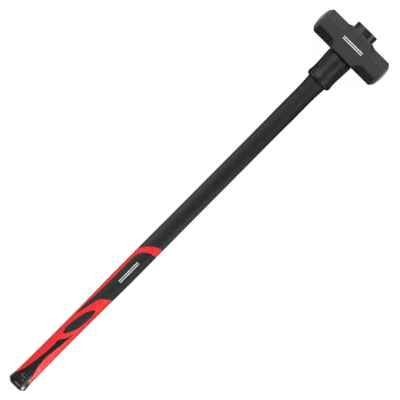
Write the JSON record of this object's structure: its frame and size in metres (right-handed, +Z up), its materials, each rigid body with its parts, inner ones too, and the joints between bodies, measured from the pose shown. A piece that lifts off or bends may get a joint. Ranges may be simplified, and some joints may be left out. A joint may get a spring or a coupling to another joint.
{
  "type": "sledge hammer",
  "caption": "Double-faced sledge hammer with an octagonal steel head, rubber strike collar and a long black handle with a red and black soft grip.",
  "frame": {"origin": "on the floor plane, midway along the overall length and midway between the striking faces", "axes": "+X along the handle from the butt to the head, +Y along the head, +Z up out of the flat that the head rests on"},
  "size_m": [0.9, 0.1554, 0.0534],
  "materials": {
    "head_paint": "satin black coating on forged steel, with bare crowned faces",
    "resin": "cast resin, dark amber",
    "fibreglass": "cut end of a pultruded rod",
    "jacket_black": "fine moulded texture, satin",
    "grip_red": "soft overmould, satin",
    "grip_black": "soft inlay, matte",
    "cap_black": "moulded, satin",
    "collar_rubber": "moulded rubber, satin"
  },
  "bodies": {
    "root": {"hammer_head": "head_paint", "eye_resin": "resin", "fibreglass_core": "fibreglass", "shaft_jacket": "jacket_black", "grip_sleeve": "grip_red", "palm_panel": "grip_black", "oval_inlay_top": "grip_black", "oval_inlay_under": "grip_black", "butt_cap": "cap_black", "strike_collar": "collar_rubber"}
  },
  "joints": []
}
